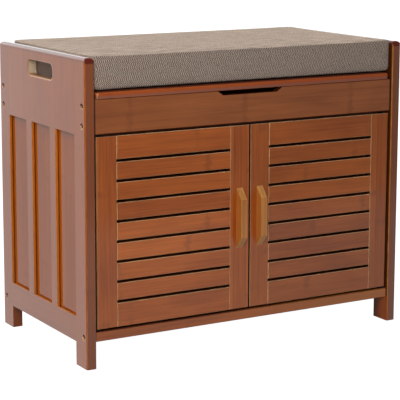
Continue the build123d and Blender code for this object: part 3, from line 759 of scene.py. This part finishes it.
def make_cushion():
    """Foam block in a sewn linen cover, flat where it lies on the lid."""
    low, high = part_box("cushion")
    across, deep, tall = CELLS
    bpy.ops.object.select_all(action="DESELECT")
    bpy.ops.mesh.primitive_grid_add(x_subdivisions=across, y_subdivisions=deep, size=1.0, location=(0, 0, 0))
    cushion = bpy.context.object
    cushion.name = "linen_cushion"
    bpy.ops.object.mode_set(mode="EDIT")
    bpy.ops.mesh.select_all(action="SELECT")
    for _ in range(tall):
        bpy.ops.mesh.extrude_region_move(TRANSFORM_OT_translate={"value": (0.0, 0.0, 1.0 / tall)})
    bpy.ops.mesh.select_all(action="SELECT")
    bpy.ops.mesh.normals_make_consistent(inside=False)
    bpy.ops.object.mode_set(mode="OBJECT")
    for point in cushion.data.vertices:
        point.co = foam_point(point.co + Vector((0.5, 0.5, 0.0)), low, high)
    swell(cushion, frames=14, pressure=3.0)
    for point in cushion.data.vertices:
        point.co.z = max(point.co.z, low.z)
        point.co.x = min(max(point.co.x, low.x - SIDE_BULGE), high.x + SIDE_BULGE) + OFF_MIDDLE
        point.co.y = min(max(point.co.y, low.y - FRONT_BULGE), high.y + FRONT_BULGE)
    only(cushion)
    smooth = cushion.modifiers.new("Soft", "SUBSURF")
    smooth.levels = 1
    smooth.render_levels = 1
    bpy.ops.object.modifier_apply(modifier=smooth.name)
    bpy.ops.object.shade_smooth()
    bpy.ops.object.mode_set(mode="EDIT")
    bpy.ops.mesh.select_all(action="SELECT")
    bpy.ops.uv.cube_project(cube_size=1.0, scale_to_bounds=False)
    bpy.ops.object.mode_set(mode="OBJECT")
    cushion.data.materials.clear()
    cushion.data.materials.append(linen())
    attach(cushion, "lid")
    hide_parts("cushion")


# The studio


def make_floor():
    """White paper that shows no shadow and throws no light on the bench."""
    bpy.ops.object.select_all(action="DESELECT")
    bpy.ops.mesh.primitive_plane_add(size=120.0, location=(0, 0, 0))
    floor = bpy.context.object
    floor.name = "studio_floor"
    floor.visible_glossy = False
    floor.visible_diffuse = False
    floor.visible_shadow = False
    paper = Finish("white_paper", Roughness=0.9, Specular_IOR_Level=0.0, Emission_Color=grey(1.0),
                   Emission_Strength=1.0)
    fleck = paper.noise(paper.place, scale=0.6)
    paper.feed("Base Color", paper.mixed(fleck, grey(0.15), grey(0.17)))
    floor.data.materials.append(paper.material)


def make_surroundings():
    """Dim even light from all round. The camera sees plain white instead."""
    world = bpy.data.worlds.new("surroundings")
    world.use_nodes = True
    sheet = Sheet(world.node_tree)
    dim = sheet.node("ShaderNodeBackground", values={"Color": grey(1.0), "Strength": 0.17})
    plain = sheet.node("ShaderNodeBackground", values={"Color": grey(1.0)})
    seen = sheet.node("ShaderNodeLightPath", output="Is Camera Ray")
    either = sheet.node("ShaderNodeMixShader", values=[seen, dim, plain])
    sheet.link(either, world.node_tree.nodes["World Output"].inputs["Surface"])
    bpy.context.scene.world = world


def area_light(name, place, target, size, brightness, lights=True, shines=True):
    """Soft box that faces a point. It may only light the bench, or only show in its varnish."""
    lamp = bpy.data.lights.new(name, "AREA")
    lamp.shape = "RECTANGLE"
    lamp.size, lamp.size_y = size
    lamp.energy = brightness * math.pi * size[0] * size[1]
    box = bpy.data.objects.new(name, lamp)
    box.location = place
    box.rotation_euler = (Vector(target) - Vector(place)).to_track_quat("-Z", "Y").to_euler()
    box.visible_camera = False
    box.visible_diffuse = lights
    box.visible_glossy = shines
    bpy.context.collection.objects.link(box)


def sun_light(name, toward, strength, spread, colour):
    """Even light from far away, soft by its spread in degrees."""
    lamp = bpy.data.lights.new(name, "SUN")
    lamp.color = colour
    lamp.energy = strength
    lamp.angle = math.radians(spread)
    sun = bpy.data.objects.new(name, lamp)
    sun.rotation_euler = Vector(toward).to_track_quat("Z", "Y").to_euler()
    sun.visible_glossy = False
    bpy.context.collection.objects.link(sun)


def hang_lights():
    """One large soft light from above, soft boxes, and pale sweeps that only show in the varnish."""
    sun_light("rear_overhead", toward=(-0.15, 0.6, 0.79), strength=2.95, spread=60.0,
              colour=(1.0, 0.96, 0.88))
    area_light("left_front_box", place=(-0.9, -1.4, 0.93), target=(-0.1, 0.0, 0.25),
               size=(0.76, 0.76), brightness=6.3)
    area_light("rear_fill", place=(1.6, 2.6, 1.6), target=(0.0, 0.1, 0.25),
               size=(1.4, 1.4), brightness=2.6, shines=False)
    area_light("rear_left_sweep", place=(-3.5, 3.4, 0.6), target=(-3.5, 0.0, 0.6),
               size=(7.0, 7.0), brightness=1.0, lights=False)
    area_light("rear_right_sweep", place=(2.75, 3.4, 1.5), target=(2.75, 0.0, 1.5),
               size=(8.5, 3.4), brightness=1.8, lights=False)
    area_light("front_floor_shine", place=(0.35, -0.65, -0.01), target=(0.35, -0.65, 1.0),
               size=(1.9, 1.0), brightness=0.4, lights=False)
    area_light("front_sweep", place=(2.2, -3.8, -0.5), target=(0.0, 0.0, -0.5),
               size=(7.0, 3.0), brightness=0.12, lights=False)
    area_light("front_upper_sweep", place=(2.2, -3.8, 0.4), target=(0.0, 0.0, 0.4),
               size=(7.0, 1.2), brightness=0.3, lights=False)


def place_camera():
    """Camera at the photograph's angle. Its focal length is given in pixels of the photograph."""
    azimuth = math.radians(-30.36)
    elevation = math.radians(9.67)
    roll = math.radians(0.14)
    aim = Vector((-0.00494, 0.0, 0.2866))
    distance = 2.6736
    focal_pixels = 1559.7
    photo_pixels = 400.0
    level = math.cos(elevation)
    back = Vector((math.sin(azimuth) * level, -math.cos(azimuth) * level, math.sin(elevation)))
    lens = bpy.data.cameras.new("view")
    lens.sensor_width = 36.0
    lens.lens = focal_pixels * lens.sensor_width / photo_pixels
    lens.shift_y = -0.10
    lens.clip_end = 200.0
    camera = bpy.data.objects.new("view", lens)
    camera.location = aim + back * distance
    turn = (-back).to_track_quat("-Z", "Y")
    camera.rotation_mode = "QUATERNION"
    camera.rotation_quaternion = turn @ Quaternion((0.0, 0.0, 1.0), roll)
    bpy.context.collection.objects.link(camera)
    bpy.context.scene.camera = camera
    bpy.context.scene.view_settings.view_transform = "Standard"


grain_seeds = itertools.count(2)
dress_sides(grain_seeds)
dress_carcass(grain_seeds)
dress_doors(grain_seeds)
dress_hardware()
make_cushion()
make_floor()
make_surroundings()
hang_lights()
place_camera()
